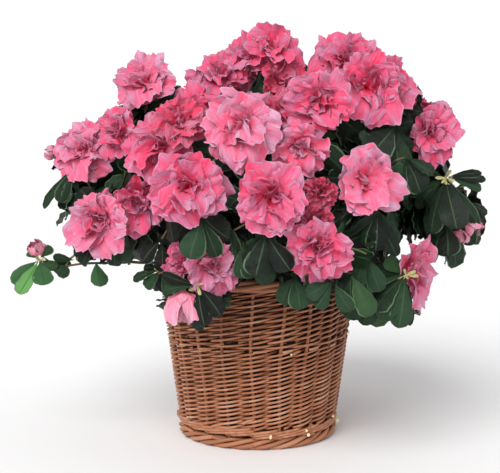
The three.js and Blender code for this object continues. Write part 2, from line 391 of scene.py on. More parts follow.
def build_foot():
    foot = Piece()
    add_border(foot, foot_high.x - 4.7 * MM, 4.7 * MM, 1.75 * MM, 2.9 * MM, 3.2, [4, 3, 5, 3])
    halves = np.arange(0.5, STAKES, 2)
    thick = (1.3 * MM, 1.8 * MM)
    add_butts(foot, halves, 0.3, 8 * MM, 11.5 * MM, 3.7 * MM, (-0.35, 0.0), 10 * MM, thick)
    foot.make("basket_foot_rods", WILLOW, "willow", ["basket_foot_border"])


def build_rim():
    rim = Piece()
    add_border(rim, rim_high.x - 5.2 * MM, rim_low.z + 5 * MM, 2.2 * MM, 2.6 * MM, 5, [3, 4, 2, 3])
    rim.make("basket_rim_rods", WILLOW, "willow", ["basket_rim_border"])


def build_base():
    """Sticks that run out from the middle, and rings of rod that weave over and under them."""
    base = Piece()
    sticks = 24
    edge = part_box("basket_base")[1].x - 1 * MM
    around = np.linspace(0, 2 * np.pi, sticks, endpoint=False)[:, None]
    radius = np.linspace(0.08, 1, 12)[None] * edge
    paths = np.stack([radius * np.sin(around), radius * np.cos(around), BASE_Z + 0 * radius * around], -1)
    paths, radii = closed_ends(paths, np.full(paths.shape[:2], 1.5 * MM))
    base.grids(tube_grid(paths, radii, 8), 2, closed=True)
    rings = np.arange(7 * MM, edge, 2.1 * MM)[:, None]
    around = np.linspace(0, 2 * np.pi, sticks * 4, endpoint=False)[None]
    weave = 1.9 * MM * np.cos(sticks / 2 * around + np.pi * (np.arange(len(rings)) % 2)[:, None])
    paths = np.stack([rings * np.sin(around), rings * np.cos(around), BASE_Z + weave], axis=-1)
    paths = np.concatenate([paths, paths[:, :1]], axis=1)
    looks = rng.choice(len(ROD_TINTS), size=(len(paths), 1, 1), p=TINT_ODDS)
    base.grids(tube_grid(paths, np.full(paths.shape[:2], 1 * MM), 6, level=True), looks, closed=True)
    base.make("basket_base_rods", WILLOW, "willow", ["basket_base"])


def build_soil():
    soil = Piece()
    earth = grain(principled("potting_soil", srgb(46, 34, 27), 0.95), 260, 0.9, 1.5 * MM, (0.85, 1.0))
    # painted shade: the soil's sides inside the basket are a darker brown than its top, for the shade seen
    # between the rods
    soil_side_painted_shade = principled("potting_soil_side_painted_shade", srgb(30, 20, 15), 0.95)
    around = np.linspace(0, 2 * np.pi, 120, endpoint=False)
    sin, cos = np.sin(around), np.cos(around)
    top, bottom = soil_high.z, soil_low.z - 3 * MM
    edge = wall_middle(top) - SOIL_IN
    rows = []
    for share in np.linspace(1, 0.02, 34):
        x, y = edge * share * sin, edge * share * cos
        lump = 1.1 * np.sin(210 * x + 3 * np.sin(160 * y)) * np.sin(230 * y + 2)
        lump = lump + 0.6 * np.sin(500 * x + 1) * np.sin(470 * y)
        rows.append(np.stack([x, y, top + MM * (lump * min(1, 4 * (1 - share)) - 1.5 * share**6)], axis=-1))
    soil.grids(np.array(rows)[None], 0, closed=True)
    rows = [np.stack([0.5 * MM * sin, 0.5 * MM * cos, bottom + 0 * around], axis=-1)]
    for z in np.linspace(bottom, top - 1.5 * MM, 6):
        radius = wall_middle(z) - SOIL_IN
        rows.append(np.stack([radius * sin, radius * cos, z + 0 * around], axis=-1))
    soil.grids(np.array(rows)[None], 1, closed=True)
    soil.make("soil_fill", [earth, soil_side_painted_shade], "potting_soil", ["potting_soil"])


build_stakes()
build_lower()
build_waist()
build_upper()
build_foot()
build_rim()
build_base()
build_soil()

# ---- trunk and boughs
FORK = np.array([2, -1, 150]) * MM
MASSES = sorted(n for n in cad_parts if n.startswith("mass_"))
BOUGHS = sorted(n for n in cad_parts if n.startswith("bough_"))
LEAST_THICK, LEAST_THIN = 1.3 * MM, 1.1 * MM
BARK_TINTS = [(98, 76, 58), (84, 66, 52), (112, 90, 70)]
BARK = [
    grain(principled(f"bark_{i}", srgb(*tint), 0.85), 420, 0.8, 1.2 * MM, (0.75, 0.95), stretch=(1, 1, 0.35))
    for i, tint in enumerate(BARK_TINTS)
]


def limb_line(name, start):
    """Three points and two end radii of a limb's solid, from the end nearer to start."""
    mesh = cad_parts[name].data
    points = np.empty(3 * len(mesh.vertices))
    mesh.vertices.foreach_get("co", points)
    points = points.reshape(-1, 3)
    order = np.argsort(np.linalg.norm(points - start, axis=1))
    near, far = points[order[:6]].mean(0), points[order[-6:]].mean(0)
    share = (points - near) @ (far - near) / np.sum((far - near) ** 2)
    middle = points[np.argsort(np.abs(share - 0.5))[:6]].mean(0)
    thick = np.linalg.norm(points[order[:6]] - near, axis=1).mean()
    thin = np.linalg.norm(points[order[-6:]] - far, axis=1).mean()
    return near, 2 * middle - (near + far) / 2, far, max(thick, LEAST_THICK), max(thin, LEAST_THIN)


def add_bark(piece, path, radii, sides, relief):
    """One limb with a cracked, ridged surface, along path (m, 3) with radii (m,)."""
    points = tube_grid(path[None], radii[None], sides)
    rows = len(path)
    around = np.arange(sides)[None] * 2 * np.pi / sides
    along = np.linspace(0, 1, rows)[:, None]
    first, second, third = rng.uniform(0, ROUND, 3)
    ridge = np.sin(3 * around + first + 5 * along) + 0.8 * np.sin(7 * around + second - 9 * along)
    crack = rng.normal(0, 0.5, (rows, sides))
    push = 1 + relief * (ridge + crack + 0.6 * np.sin(26 * along + third))
    points = path[:, None] + (points - path[:, None]) * push[..., None]
    piece.grids(points, rng.choice(3, size=(1, rows - 1, 1), p=[0.6, 0.25, 0.15]), closed=True)


def uneven(share, pace, seeds, size):
    """Small sideways steps along a limb, none at its ends. A seed of 0 gives no step in that direction."""
    steps = [waves(pace * share, seed) if seed else 0 * share for seed in seeds]
    return np.stack(steps, -1) * size * np.sin(np.pi * share)[:, None]


def build_trunk(bark):
    low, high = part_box("trunk")
    far, _, thin = limb_line("trunk", np.array([0, 0, low.z]))[2:]
    share = np.linspace(0, 1, 46)
    foot = np.array([0, 0, low.z - 3 * MM])
    top = np.array([far[0], far[1], high.z + 2 * MM])
    path = foot + (top - foot) * share[:, None] + uneven(share, 5, (1, 2, 0), 0.7 * MM)
    stem = 8.2 * MM
    flare = (high.x - low.x) / 2 * 0.96 - stem
    radii = thin + (stem - thin) * (1 - share) + flare * np.exp(-9 * share)
    radii[-3:] *= [0.95, 0.8, 0.3]
    add_bark(bark, path, radii, 22, 0.035)


def build_limbs():
    """Makes the trunk and boughs. Returns each bough's end and end radius, by the mass that it carries."""
    bark = Piece()
    build_trunk(bark)
    bough_ends = {}
    for name in BOUGHS:
        near, bend, far, thick, thin = limb_line(name, FORK)
        bough_ends[name.replace("bough_", "mass_")] = (far, thin)
        inner = near + unit(near - bend) * 5 * MM
        share = np.linspace(0, 1, 26)
        seed = len(name)
        path = bezier(inner[None], bend[None], far[None], 26)[0]
        path = path + uneven(share, 6, (seed, seed + 7, seed + 3), 1.3 * MM)
        add_bark(bark, path, thick + (thin - thick) * share, 12, 0.03)
    bark.make("bark_limbs", BARK, "bark", ["trunk"] + BOUGHS)
    return bough_ends


# ---- where flowers and leaves stand
CORE = np.array([0, 0, 185]) * MM  # the middle of the crown
HIGH = 200 * MM  # above this, shoots stand deeper in the crown


def solid(name):
    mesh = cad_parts[name].data
    corners = [vertex.co.copy() for vertex in mesh.vertices]
    return BVHTree.FromPolygons(corners, [tuple(face.vertices) for face in mesh.polygons])


SOLIDS = {name: solid(name) for name in MASSES}
BOXES = {name: [np.array(corner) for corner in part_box(name)] for name in MASSES}
MIDDLES = {name: (low + high) / 2 for name, (low, high) in BOXES.items()}
OUTWARD = {name: unit(MIDDLES[name] - CORE) for name in MASSES}


def distance(first, second):
    return np.linalg.norm(first - second)


def surface(name, direction):
    """Where a line from the middle of a mass leaves it."""
    place = SOLIDS[name].ray_cast(Vector(MIDDLES[name]), Vector(direction))[0]
    return MIDDLES[name] if place is None else np.array(place)


def front_of(name, across, up):
    """The point on the front of a mass this far, in mm, across and above its middle."""
    start = MIDDLES[name] + np.array([across, -100, up]) * MM
    place = SOLIDS[name].ray_cast(Vector(start), Vector((0, 1, 0)))[0]
    if place is None:
        place = SOLIDS[name].find_nearest(Vector(start + np.array([0, 90 * MM, 0])))[0]
    return np.array(place)


def near_other_mass(name, place, reach):
    for other in MASSES:
        low, high = BOXES[other]
        if other == name or np.any(place < low - reach) or np.any(place > high + reach):
            continue
        if SOLIDS[other].find_nearest(Vector(place), reach)[0] is not None:
            return True
    return False


def open_places(name, count):
    """Spread directions from a mass's middle in which its surface is on the crown's outside."""
    steps = np.arange(count) + 0.5
    pitches = np.degrees(np.arcsin(1 - 2 * steps / count))
    turns = np.degrees(steps * GOLDEN + rng.uniform(0, ROUND))
    places = []
    for turn, pitch in zip(turns, pitches):
        way = heading(turn, pitch)
        place = surface(name, way)
        if way @ OUTWARD[name] > -0.15 and not near_other_mass(name, place, 5 * MM):
            places.append((way, place))
    return places


# Gaps in the crown as the camera sees them in the plane of the axis: right, up and radius in mm.
SKY_GAPS = [
    (37, 309, 9), (-59, 290, 7), (116, 147, 6), (138, 147, 9), (-86, 136, 9), (-111, 131, 7),
    (165, 136, 7), (-153, 169, 5), (-123, 261, 5), (187, 170, 7), (173, 151, 6), (-24, 316, 6),
    (110, 296, 5), (66, 327, 6), (164, 223, 7), (-116, 274, 6), (-155, 243, 5), (190, 180, 6),
    (179, 145, 8), (129, 148, 6), (-18, 104, 9), (-4, 104, 10), (10, 106, 9), (-25, 311, 8), (-68, 293, 7),
    (-158, 234, 6), (-94, 109, 7), (-60, 280, 5), (184, 195, 6), (-89, 142, 5),
]


def in_sky(points, reach):
    """Which points lie within reach of a gap, as seen from the camera."""
    eye = np.array(camera.location)
    seen = eye + (points - eye) * (-eye[1] / (points[:, 1:2] - eye[1]))
    hit = np.zeros(len(points), bool)
    for across, up, radius in SKY_GAPS:
        hit |= np.hypot(seen[:, 0] - across * MM, seen[:, 2] - up * MM) < radius * MM + reach
    return hit


# Flowers at the front: how far each is across and above its mass's middle and in front of its surface (on the
# thin shoot, of its middle), and its width, in mm, how far it is open, which way it turns and is pitched, and
# its kind.
FRONT_FLOWERS = {
    "head_left": [(0, 11, 0, 54, 1, -6, 32, "light")],
    "peak": [
        (-14, 17, 0, 44, 0.9, -25, 38, "full"), (7, 21, 2, 51, 0.95, 12, 32, "open"),
        (14, -8, 4, 44, 0.85, 12, 8, "deep"), (-24, -10, 6, 44, 0.85, -12, 15, "full"),
    ],
    "peak_left": [(-2, 25, 2, 50, 0.95, -15, 40, "full"), (-19, -9, 14, 54, 1, -8, 14, "full")],
    "peak_right": [(-3, 31, 0, 62, 0.95, 4, 36, "full")],
    "head_right": [(-12, 18, 20, 56, 1, 8, 6, "open"), (8, 20, 12, 51, 0.75, 44, 4, "open")],
    "brow_front": [(0, 12, 0, 62, 1, -4, 16, "light")],
    "brow_right": [
        (-4, 9, 0, 54, 1, -4, 6, "full"), (-17, -28, 26, 44, 0.95, -4, -30, "tongue"),
        (-28, 1, 10, 38, 0.8, 4, 6, "deep"),
    ],
    "brow_left": [
        (-3, -2, 0, 60, 1, -15, 14, "full"), (-34, 9, 4, 38, 0.8, -40, 14, "full"),
        (16, 16, 4, 42, 0.9, 10, 24, "deep"),
    ],
    "shoulder_left": [(-4, 12, 2, 55, 1, -18, 14, "light"), (-34, 7, 2, 10, 0, -70, 5, "pale")],
    "cheek_left": [(4, 12, 0, 61, 1, 2, 6, "full")],
    "chin_left": [(-5, -3, 0, 49, 1, -18, -6, "tongue"), (25, 7, 8, 52, 0.7, -18, -34, "full")],
    "cheek_front": [(-5, 8, 0, 55, 1, -2, 6, "full")],
    "cheek_right": [(3, 7, 2, 58, 0.95, 8, 2, "tongue"), (-31, -4, 8, 30, 0.6, -10, -15, "deep")],
    "chin_right": [(-8, 7, 0, 49, 0.95, 0, 0, "full"), (-12, 25, 0, 30, 0.6, -10, 10, "deep")],
    "shoulder_right": [(6, 5, 10, 50, 0.9, 24, 4, "full")],
    "spray_left": [
        (16, 20, 20, 47, 0.85, 24, -4, "light"), (-13, 22, 8, 34, 0.6, -40, 0, "full"),
        (-8, -21, 14, 30, 0.3, -6, -76, "pale"),
    ],
    "spray_right": [(23, 2, 6, 55, 0.95, 58, -6, "tongue")],
    "fan_right": [(21, -16, 12, 15, 0.4, 50, -40, "pale"), (7, -24, 14, 14, 0, 20, -60, "pale")],
    "shoot_left": [(-18, 21, 0, 14, 0, -40, 50, "pale")],
    "side_left": [(13, 8, 86, 42, 0.95, -14, 14, "full")],
}


# Masses with more leaves than flowers, and masses low at the front, whose leaves are brighter.
LEAFY = ["mass_fan_right", "mass_spray_right", "mass_shoot_left", "mass_side_left", "mass_chin_front"]
SKIRT = ["mass_chin_right", "mass_chin_front", "mass_spray_right"]
SHOOT = "mass_shoot_left"


def hand_placed():
    """The table's flowers, as (mass, front middle, way it faces, width, how far open, kind)."""
    flowers = []
    for short, rows in FRONT_FLOWERS.items():
        name = "mass_" + short
        for across, up, forward, width, opening, turn, pitch, kind in rows:
            front = front_of(name, across, up) - np.array([0, forward, 0]) * MM
            if name == SHOOT:
                front = MIDDLES[name] + np.array([across, -forward, up]) * MM
            flowers.append((name, front, heading(turn, pitch), width * MM, opening, kind))
    return flowers


def place_flowers():
    """The flowers of the table, and seeded ones wherever it leaves the crown bare."""
    flowers = hand_placed()
    by_hand = {flower[0] for flower in flowers}
    for name in MASSES:
        room = (62 if name in LEAFY else 46) * MM
        for way, place in open_places(name, 40):
            shown = name in by_hand and place[1] < -35 * MM
            if shown or any(distance(place, f[1]) < room for f in flowers):
                continue
            face = unit(0.6 * way + 0.7 * unit(place - CORE) + rng.normal(0, 0.12, 3))
            opening = rng.choice([1.0, 0.95, 0.8, 0.55], p=[0.5, 0.25, 0.15, 0.1])
            kind = rng.choice(["full", "open", "deep"], p=[0.5, 0.3, 0.2])
            width = rng.uniform(48, 60) * MM * (0.86 if place[1] < 40 * MM else 1)
            if not in_sky(place[None], 0.4 * width)[0]:
                flowers.append((name, place - face * 2 * MM, face, width, opening, kind))
    return flowers


def place_leaf_tips(flowers):
    """Shoots between the flowers, as (mass, tip, way it points, place on the surface, leaf length)."""
    tips = []
    for name in MASSES:
        leafy = name in LEAFY
        room, apart = (8 * MM, 19 * MM) if leafy else (11 * MM, 22 * MM)
        for way, place in open_places(name, 60 if leafy else 40):
            gap = min(distance(place, f[1]) - 0.42 * f[3] for f in flowers)
            by_hand = name == SHOOT or name in ("mass_fan_right", "mass_spray_right") and way[1] < -0.3
            if by_hand or gap < room or any(distance(place, t[3]) < apart for t in tips):
                continue
            point = unit(0.5 * way + 0.5 * unit(place - CORE) + rng.normal(0, 0.15, 3) + [0, 0, -0.1])
            sunk = 15 + 12 * smooth((place[2] - HIGH) / (80 * MM)) + 10 * (place[1] < -30 * MM)
            tips.append((name, place - point * sunk * MM, point, place, 36 * MM))
    return tips


def place_gap_shoots(flowers):
    """Shoots in the gaps between the masses of the crown's upper part."""
    shoots = []
    count = 700
    for k in range(count):
        way = heading(math.degrees(k * GOLDEN), math.degrees(math.asin(1 - 1.1 * (k + 0.5) / count)))
        start = CORE + way * 200 * MM
        if any(SOLIDS[n].ray_cast(Vector(start), Vector(-way), 170 * MM)[0] is not None for n in MASSES):
            continue
        aside = sorted(MASSES, key=lambda n: -OUTWARD[n] @ way)[:3]
        place = CORE + way * (np.mean([distance(MIDDLES[n], CORE) for n in aside]) + 3 * MM)
        clear = all(distance(place, f[1]) > 0.36 * f[3] for f in flowers)
        if clear and all(distance(place, s[3]) > 14 * MM for s in shoots):
            point = unit(way + rng.normal(0, 0.2, 3))
            shoots.append((aside[0], place - point * 12 * MM, point, place, 36 * MM))
    return shoots


# ---- flowers
# The pinks from a petal's foot to its edge. A palette is a factor for red, one for the rest, and an addition.
PINKS = [(246, 32, 68), (250, 43, 80), (250, 56, 93), (241, 69, 106), (219, 85, 121), (200, 107, 140)]
PINKS += [(192, 137, 163)]
TINTS = [[np.interp(step / 2, range(7), channel) for channel in zip(*PINKS)] for step in range(13)]
PALETTES = [(1.0, 1.0, 0), (1.0, 0.88, -2), (0.66, 0.66, 88), (0.9, 0.92, 27)]
PALETTE_OF = {"full": 0, "open": 0, "deep": 1, "pale": 2, "light": 3, "tongue": 3}
PAINTED_GLOW = 0.04  # painted light: the petals glow faintly in their own colour, standing in for light that comes through a thin petal


def petal_look(name, color):
    # painted light: a faint glow of the petal's own colour, for light through the petal
    painted_glow = {"Emission_Color": (*color, 1), "Emission_Strength": PAINTED_GLOW}
    look = principled(name, color, 0.6, Specular_IOR_Level=0.16, **painted_glow)
    return grain(look, 10.0, 0.9, 1.3 * MM, (0.45, 0.7), uv=True, stretch=(1, 0.6, 1))


PETAL_LOOKS = [
    petal_look(f"petal_{palette}_{step}", srgb(red * r + lift, rest * g + lift, rest * b + lift))
    for palette, (red, rest, lift) in enumerate(PALETTES)
    for step, (r, g, b) in enumerate(TINTS)
]


# In these functions, u goes across a petal from -1 to 1 and v along it from 0 to 1, and phase is random.
def petal_margin(dice, u, phase, notch, round_tip):
    """How far the petal reaches at each u, as a share of its length."""
    margin = 1 - round_tip * np.abs(u) ** 3 - 0.06 * np.exp(-(((u - 0.35 * notch) / 0.14) ** 2))
    margin = margin + 0.03 * np.sin(3.4 * u + phase[0]) + 0.03 * np.sin(7 * u + phase[1])
    margin = margin + 0.02 * np.sin(15 * u + phase[2])
    return margin + dice.normal(0, 0.01, margin.shape)


def petal_arc(share, lean, length, start):
    """Distance from the flower's axis, rise along it and angle off it, at shares of the petals' length."""
    fine = np.linspace(0, 1.2, 49)[None]
    step = fine[0, 1]
    angle = lean[:, :1] + (lean[:, 1:2] - lean[:, :1]) * smooth(fine) + lean[:, 2:] * fine**3
    at = np.clip(share / step, 0, 47.999).reshape(len(lean), -1)
    low = at.astype(int)

    def add_up(rates):
        return np.concatenate([0 * lean[:, :1], np.cumsum(rates[:, 1:], 1) * step], 1) * length[:, None]

    def look_up(table):
        below, above = np.take_along_axis(table, low, 1), np.take_along_axis(table, low + 1, 1)
        return (below + (above - below) * (at - low)).reshape(share.shape)

    return look_up(add_up(np.sin(angle)) + start), look_up(add_up(np.cos(angle))), look_up(angle)


def petal_waves(dice, u, v, phase):
    """How far, in mm, the ruffled surface stands off the smooth one."""
    around = np.arctan2(u, 1.7 * (v - 0.45))
    edge = np.maximum(v**3, np.abs(u) ** 3 * v)
    frill = 17 if u.size > 20 else 12
    lift = edge * (1.8 * np.sin(5 * around + phase[5]) + 1.2 * np.sin(9 * around + phase[6]))
    lift = lift + edge * 0.6 * np.sin(frill * around + phase[7])
    lift = lift + 0.8 * v * np.sin(5 * v + phase[8] + 2 * u)
    lift = lift + v * (0.5 * np.sin(7 * u + phase[9]) + 0.25 * np.sin(16 * u + phase[4]))
    return lift + dice.normal(0, 0.011 * u.size, lift.shape) * (0.4 + 0.6 * v)


def petal_tints(dice, u, v, phase, deep, shift, folds):
    """The number of each face's tint, which is deep at the foot and pale at the edge. Painted light: the tint
    is paler on the ruffles' raised folds and deeper in their troughs, and the edge row is paler still as a
    painted rim of light.
    """
    v, u = (v[:, 1:] + v[:, :-1]) / 2, (u[..., 1:] + u[..., :-1]) / 2
    tone = deep + (4.3 - deep) * smooth(v * 1.15) ** 0.9 + 0.6 * np.abs(u) + 0.5 * shift
    # painted light and painted shade: paler on the raised folds, deeper in the troughs between them
    tone = tone + np.clip(0.2 * folds, -0.6, 0.6) + 0.2 * np.sin(11 * u + phase[10]) * v
    tone = tone + dice.normal(0, 0.26, tone[:, :1].shape) + dice.normal(0, 0.14, tone.shape)
    # painted rim light: the last row along the edge is paler
    tone[:, -1] += 1.2
    return np.clip(np.round(2 * tone), 0, len(TINTS) - 1).astype(int)


def add_petals(piece, dice, base, axis, spin, length, width, lean, ruffle, start, deep, shape, grid, palette):
    """Ruffled petals round base. axis, spin, length, width, lean and ruffle have a row for each petal.

    lean is the angle off the axis at the foot, at the tip, and how much the tip curls on. start is how far
    from the axis the foot is, and deep its tint. shape is (roundness, cupping, twist)."""
    n = len(axis)
    rows, columns = grid
    round_tip, wrap, twist = shape
    u = np.linspace(-1, 1, columns)[None, None]
    v = (1 - (1 - np.linspace(0, 1, rows - 1)) ** 1.25) * 0.975
    v = np.append(v, 1.0)[None, :, None]
    phase = dice.uniform(0, ROUND, (12, n, 1, 1))
    notch, cup, roll, shift = dice.uniform(-1, 1, (4, n, 1, 1))
    out, rise, angle = petal_arc(v * petal_margin(dice, u, phase, notch, round_tip), lean, length, start)
    wide = width[:, None, None] * (0.15 + 0.85 * smooth(v * 1.3) ** 0.9) * (1 - 0.12 * smooth(2.2 * v - 1.2))
    wide = wide * (1 + 0.06 * np.sin(6 * v + phase[3]) * np.sign(u) + 0.04 * np.sin(12 * v + phase[4]))
    flat = u * wide / 2
    bend = flat / np.maximum(out, 2.5 * MM)
    across = (1 - wrap) * flat + wrap * out * np.sin(bend)
    inward = wrap * out * (1 - np.cos(bend))
    ruffles = petal_waves(dice, u, v, phase)
    vein = 0.8 * np.exp(-((u / 0.12) ** 2)) * np.sin(np.pi * v)
    lift = (ruffles * ruffle[:, None, None] + 2.2 * cup * u**2 * v - vein) * MM
    cos, sin = np.cos(twist * roll * v), np.sin(twist * roll * v)
    across, lift = across * cos - lift * sin, across * sin + lift * cos
    radial, tangent = (side[:, None, None] for side in basis(axis, spin))
    points = base + radial * (out - inward - np.cos(angle) * lift)[..., None] + tangent * across[..., None]
    points = points + unit(axis)[:, None, None] * (rise + np.sin(angle) * lift)[..., None]
    folds = ruffles[:, 1:, 1:] + ruffles[:, :-1, :-1]
    looks = petal_tints(dice, u, v, phase, deep, shift, folds) + len(TINTS) * palette
    places = np.stack(np.broadcast_arrays(u + phase[10] * 3, v + phase[11]), -1)
    piece.grids(points, looks, places=places)


def bloom_whorls(width, opening, kind, fine):
    """A flower's whorls: petals, length, width, lean, ruffle and so on for add_petals, in mm and degrees."""
    if opening == 0:
        return [
            (5, 1.0 * width, 0.75 * width, (64, -28, -6), 1.5, 0.4, 2.5, (0.5, 0.75, 0), (11, 13)),
            (4, 0.86 * width, 0.5 * width, (40, -20, 0), 1.0, 0.3, 1.5, (0.4, 0.7, 0), (9, 9)),
        ]
    if is_small(opening):
        return [
            (5, 0.9 * width, 0.75 * width, (54, -4, -6), 1.5, 0.5, 2.8, (0.45, 0.6, 0.1), (12, 15)),
            (4, 0.75 * width, 0.5 * width, (38, -8, 0), 1.0, 0.4, 1.2, (0.4, 0.6, 0), (9, 9)),
        ]
    k = width / 56  # the numbers below are for a flower 56 mm wide
    grids = [(16, 25), (14, 21), (12, 17), (11, 12)] if fine else [(10, 13), (9, 11), (8, 9), (7, 6)]
    if kind in ("open", "pale", "tongue"):
        return [
            (6, 32 * k, 37 * k, (14, 94 * opening, 8), 2.0, 1.05, 1.4, (0.2, 0.45, 0.2), grids[0]),
            (5, 26 * k, 27 * k, (8, 66 * opening, 12), 1.5, 1.3, 0.6, (0.24, 0.45, 0.5), grids[1]),
            (6, 19 * k, 15 * k, (0, 42 * opening, 22), 1.0, 1.3, 0.1, (0.22, 0.3, 1.0), grids[3]),
        ]
    return [
        (7, 31 * k, 34 * k, (14, 97 * opening, 8), 2.0, 1.1, 1.7, (0.2, 0.45, 0.2), grids[0]),
        (7, 28 * k, 27 * k, (8, 78 * opening, 10), 1.5, 1.35, 1.1, (0.24, 0.45, 0.4), grids[1]),
        (8, 23 * k, 20 * k, (4, 57 * opening, 12), 1.0, 1.45, 0.7, (0.22, 0.35, 0.8), grids[2]),
        (8, 18 * k, 14 * k, (-2, 36 * opening, 20), 1.2, 1.3, 0.3, (0.2, 0.2, 1.3), grids[3]),
    ]


def is_small(opening):
    """Whether a flower is a bud or half closed."""
    return opening < 0.5


def flower_depth(width, opening):
    """From a flower's front to the foot of its petals."""
    return 0.85 * width if is_small(opening) else width * (0.6 - 0.2 * opening)


def flower_side(place):
    if place[1] > 20 * MM:
        return "back"
    if abs(place[0]) < 45 * MM:
        return "front"
    return "left" if place[0] < 0 else "right"


def build_flower(piece, dice, flower, base, fine):
    _, _, face, width, opening, kind = flower
    loose, swing = (0.02, [3, 4, 3]) if is_small(opening) else (0.1, [6, 12, 14])
    for count, length, wide, lean, start, ruffle, *rest in bloom_whorls(width / MM, opening, kind, fine):
        spin = dice.uniform(0, ROUND) + np.arange(count) * 2 * np.pi / count + dice.normal(0, 0.16, count)
        tilt = unit(face + dice.normal(0, loose, (count, 3)))
        hang = 1 if is_small(opening) else 1 + 0.2 * np.clip(-basis(tilt, spin)[0][:, 2], 0, 1)
        lengths = length * MM * hang * dice.uniform(0.9, 1.08, count)
        widths = wide * MM * dice.uniform(0.85, 1.15, count)
        leans = np.radians(np.array([lean]) + dice.normal(0, 1, (count, 3)) * swing)
        ruffles = ruffle * dice.uniform(0.75, 1.25, count)
        palette = PALETTE_OF[kind]
        add_petals(piece, dice, base, tilt, spin, lengths, widths, leans, ruffles, start * MM, *rest, palette)


def build_flowers(flowers):
    """Makes the flowers' meshes and returns the point where each flower's stalk begins."""
    pieces = {"left": Piece(), "front": Piece(), "right": Piece(), "back": Piece()}
    greens = Piece()
    stalks = []
    for number, flower in enumerate(flowers):
        _, front, face, width, opening, _ = flower
        side = flower_side(front)
        base = front - face * flower_depth(width, opening)
        build_flower(pieces[side], np.random.default_rng(300 + number), flower, base, side != "back")
        stalks.append(base - face * (4 if is_small(opening) else 9) * MM)
        path = bezier(stalks[-1][None], (base - face * 4 * MM)[None], (base + face * 3 * MM)[None], 8)
        radii = np.array([[0.9, 0.9, 0.95, 1.1, 1.6, 2.2, 2.7, 2.4]]) * MM * min(1, width / (40 * MM))
        greens.grids(tube_grid(path, radii, 8), 0, closed=True)
    for side, piece in pieces.items():
        nodes = [name for name in MASSES if name not in LEAFY and flower_side(MIDDLES[name]) == side]
        piece.make(f"blossom_{side}", PETAL_LOOKS, "blossom", nodes)
    stalk_look = grain(principled("stalk_green", srgb(128, 146, 74), 0.6), 600, 0.5, 0.3 * MM, (0.5, 0.7))
    greens.make("blossom_stalks", [stalk_look], "foliage")
    return stalks


# ---- leaves
# A leaf's tint is the number of its green. Ribs and bud scales have looks of their own, and so has a paler
# edge strip that is painted rim light.
GREENS = [(8, 24, 11), (20, 44, 23), (4, 12, 6), (44, 76, 41), (31, 60, 35), (98, 154, 82), (54, 98, 54)]
RIB, SCALE, PAINTED_RIM_LIGHT = len(GREENS), len(GREENS) + 1, len(GREENS) + 2
DARK = [0, 1, 2, 4]
DROOP = 0.25


def leaf_look(name, tint, rough):
    look = principled(name, srgb(*tint), rough, Specular_IOR_Level=0.32)
    return grain(look, 11, 0.8, 1.2 * MM, (rough - 0.06, rough + 0.14), uv=True, stretch=(1.2, 0.7, 1))


LEAF_LOOKS = [leaf_look(f"leaf_{i}", tint, 0.32) for i, tint in enumerate(GREENS)]
LEAF_LOOKS.append(leaf_look("leaf_rib", (50, 76, 44), 0.45))
LEAF_LOOKS.append(leaf_look("bud_scale", (206, 200, 140), 0.6))
LEAF_LOOKS.append(leaf_look("leaf_edge_painted_rim_light", (84, 110, 80), 0.4))
# The rows of a leaf from its foot to its tip, how wide each is, and its columns from edge to edge.
LEAF_T = np.array([0, 0.07, 0.16, 0.28, 0.42, 0.56, 0.7, 0.82, 0.92, 0.98, 1.0])
LEAF_W = np.array([0.07, 0.1, 0.32, 0.6, 0.83, 0.97, 1.0, 0.9, 0.66, 0.36, 0.04])
LEAF_U = np.array([-1, -0.88, -0.05, 0.05, 0.88, 1])


def add_leaves(piece, base, way, normal, length, width, curl, tint):
    """Leaves from base along way, with the upper face towards normal, bent down by curl to the tip."""
    n = len(base)
    way = unit(way)
    side = unit(np.cross(way, normal))
    normal = np.cross(side, way)
    u, t = LEAF_U[None, None], LEAF_T[None, :, None]
    t = t + 0.07 * np.abs(u) * np.sin(np.pi * t)
    curl = np.where(np.abs(curl) < 0.02, 0.02, curl)[:, None, None]
    wave = rng.uniform(0, ROUND, (3, n, 1, 1))
    length = length[:, None, None]
    half = width[:, None, None] / 2 * LEAF_W[None, :, None]
    fold = rng.uniform(0.15, 0.45, (n, 1, 1))
    arch = rng.uniform(0.0, 0.7, (n, 1, 1))
    quilt = 0.11 * (np.abs(u) > 0.5) * np.cos(np.pi * np.arange(len(LEAF_T)))[None, :, None]
    up = half * (np.abs(u) * fold - arch * u**2 + 0.09 * np.abs(u) * np.sin(9 * t + wave[0] + u) + quilt)
    along = length * np.sin(curl * t) / curl + up * np.sin(curl * t)
    above = up * np.cos(curl * t) - length * (1 - np.cos(curl * t)) / curl
    aside = u * half * np.cos(fold * 0.8) + 0.06 * length * np.sin(2.2 * t + wave[1]) * t
    points = base[:, None, None] + way[:, None, None] * along[..., None]
    points = points + normal[:, None, None] * above[..., None] + side[:, None, None] * aside[..., None]
    looks = np.broadcast_to(tint[:, None, None], (n, len(LEAF_T) - 1, len(LEAF_U) - 1)).copy()
    looks[:, :-1, 2] = np.where(tint == SCALE, SCALE, RIB)[:, None]
    # painted rim light: on about half the leaves' sides the edge strip takes a paler green
    for column, swing in ((0, wave[0]), (4, wave[1])):
        looks[:, :, column] = np.where((tint != SCALE) & (swing.ravel() > 3.2), PAINTED_RIM_LIGHT, tint)[:, None]
    places = np.stack(np.broadcast_arrays(t * 3 - 1.2 * np.abs(u) + wave[2], u + wave[1] + 0 * t), -1)
    piece.grids(points, looks, places=places)


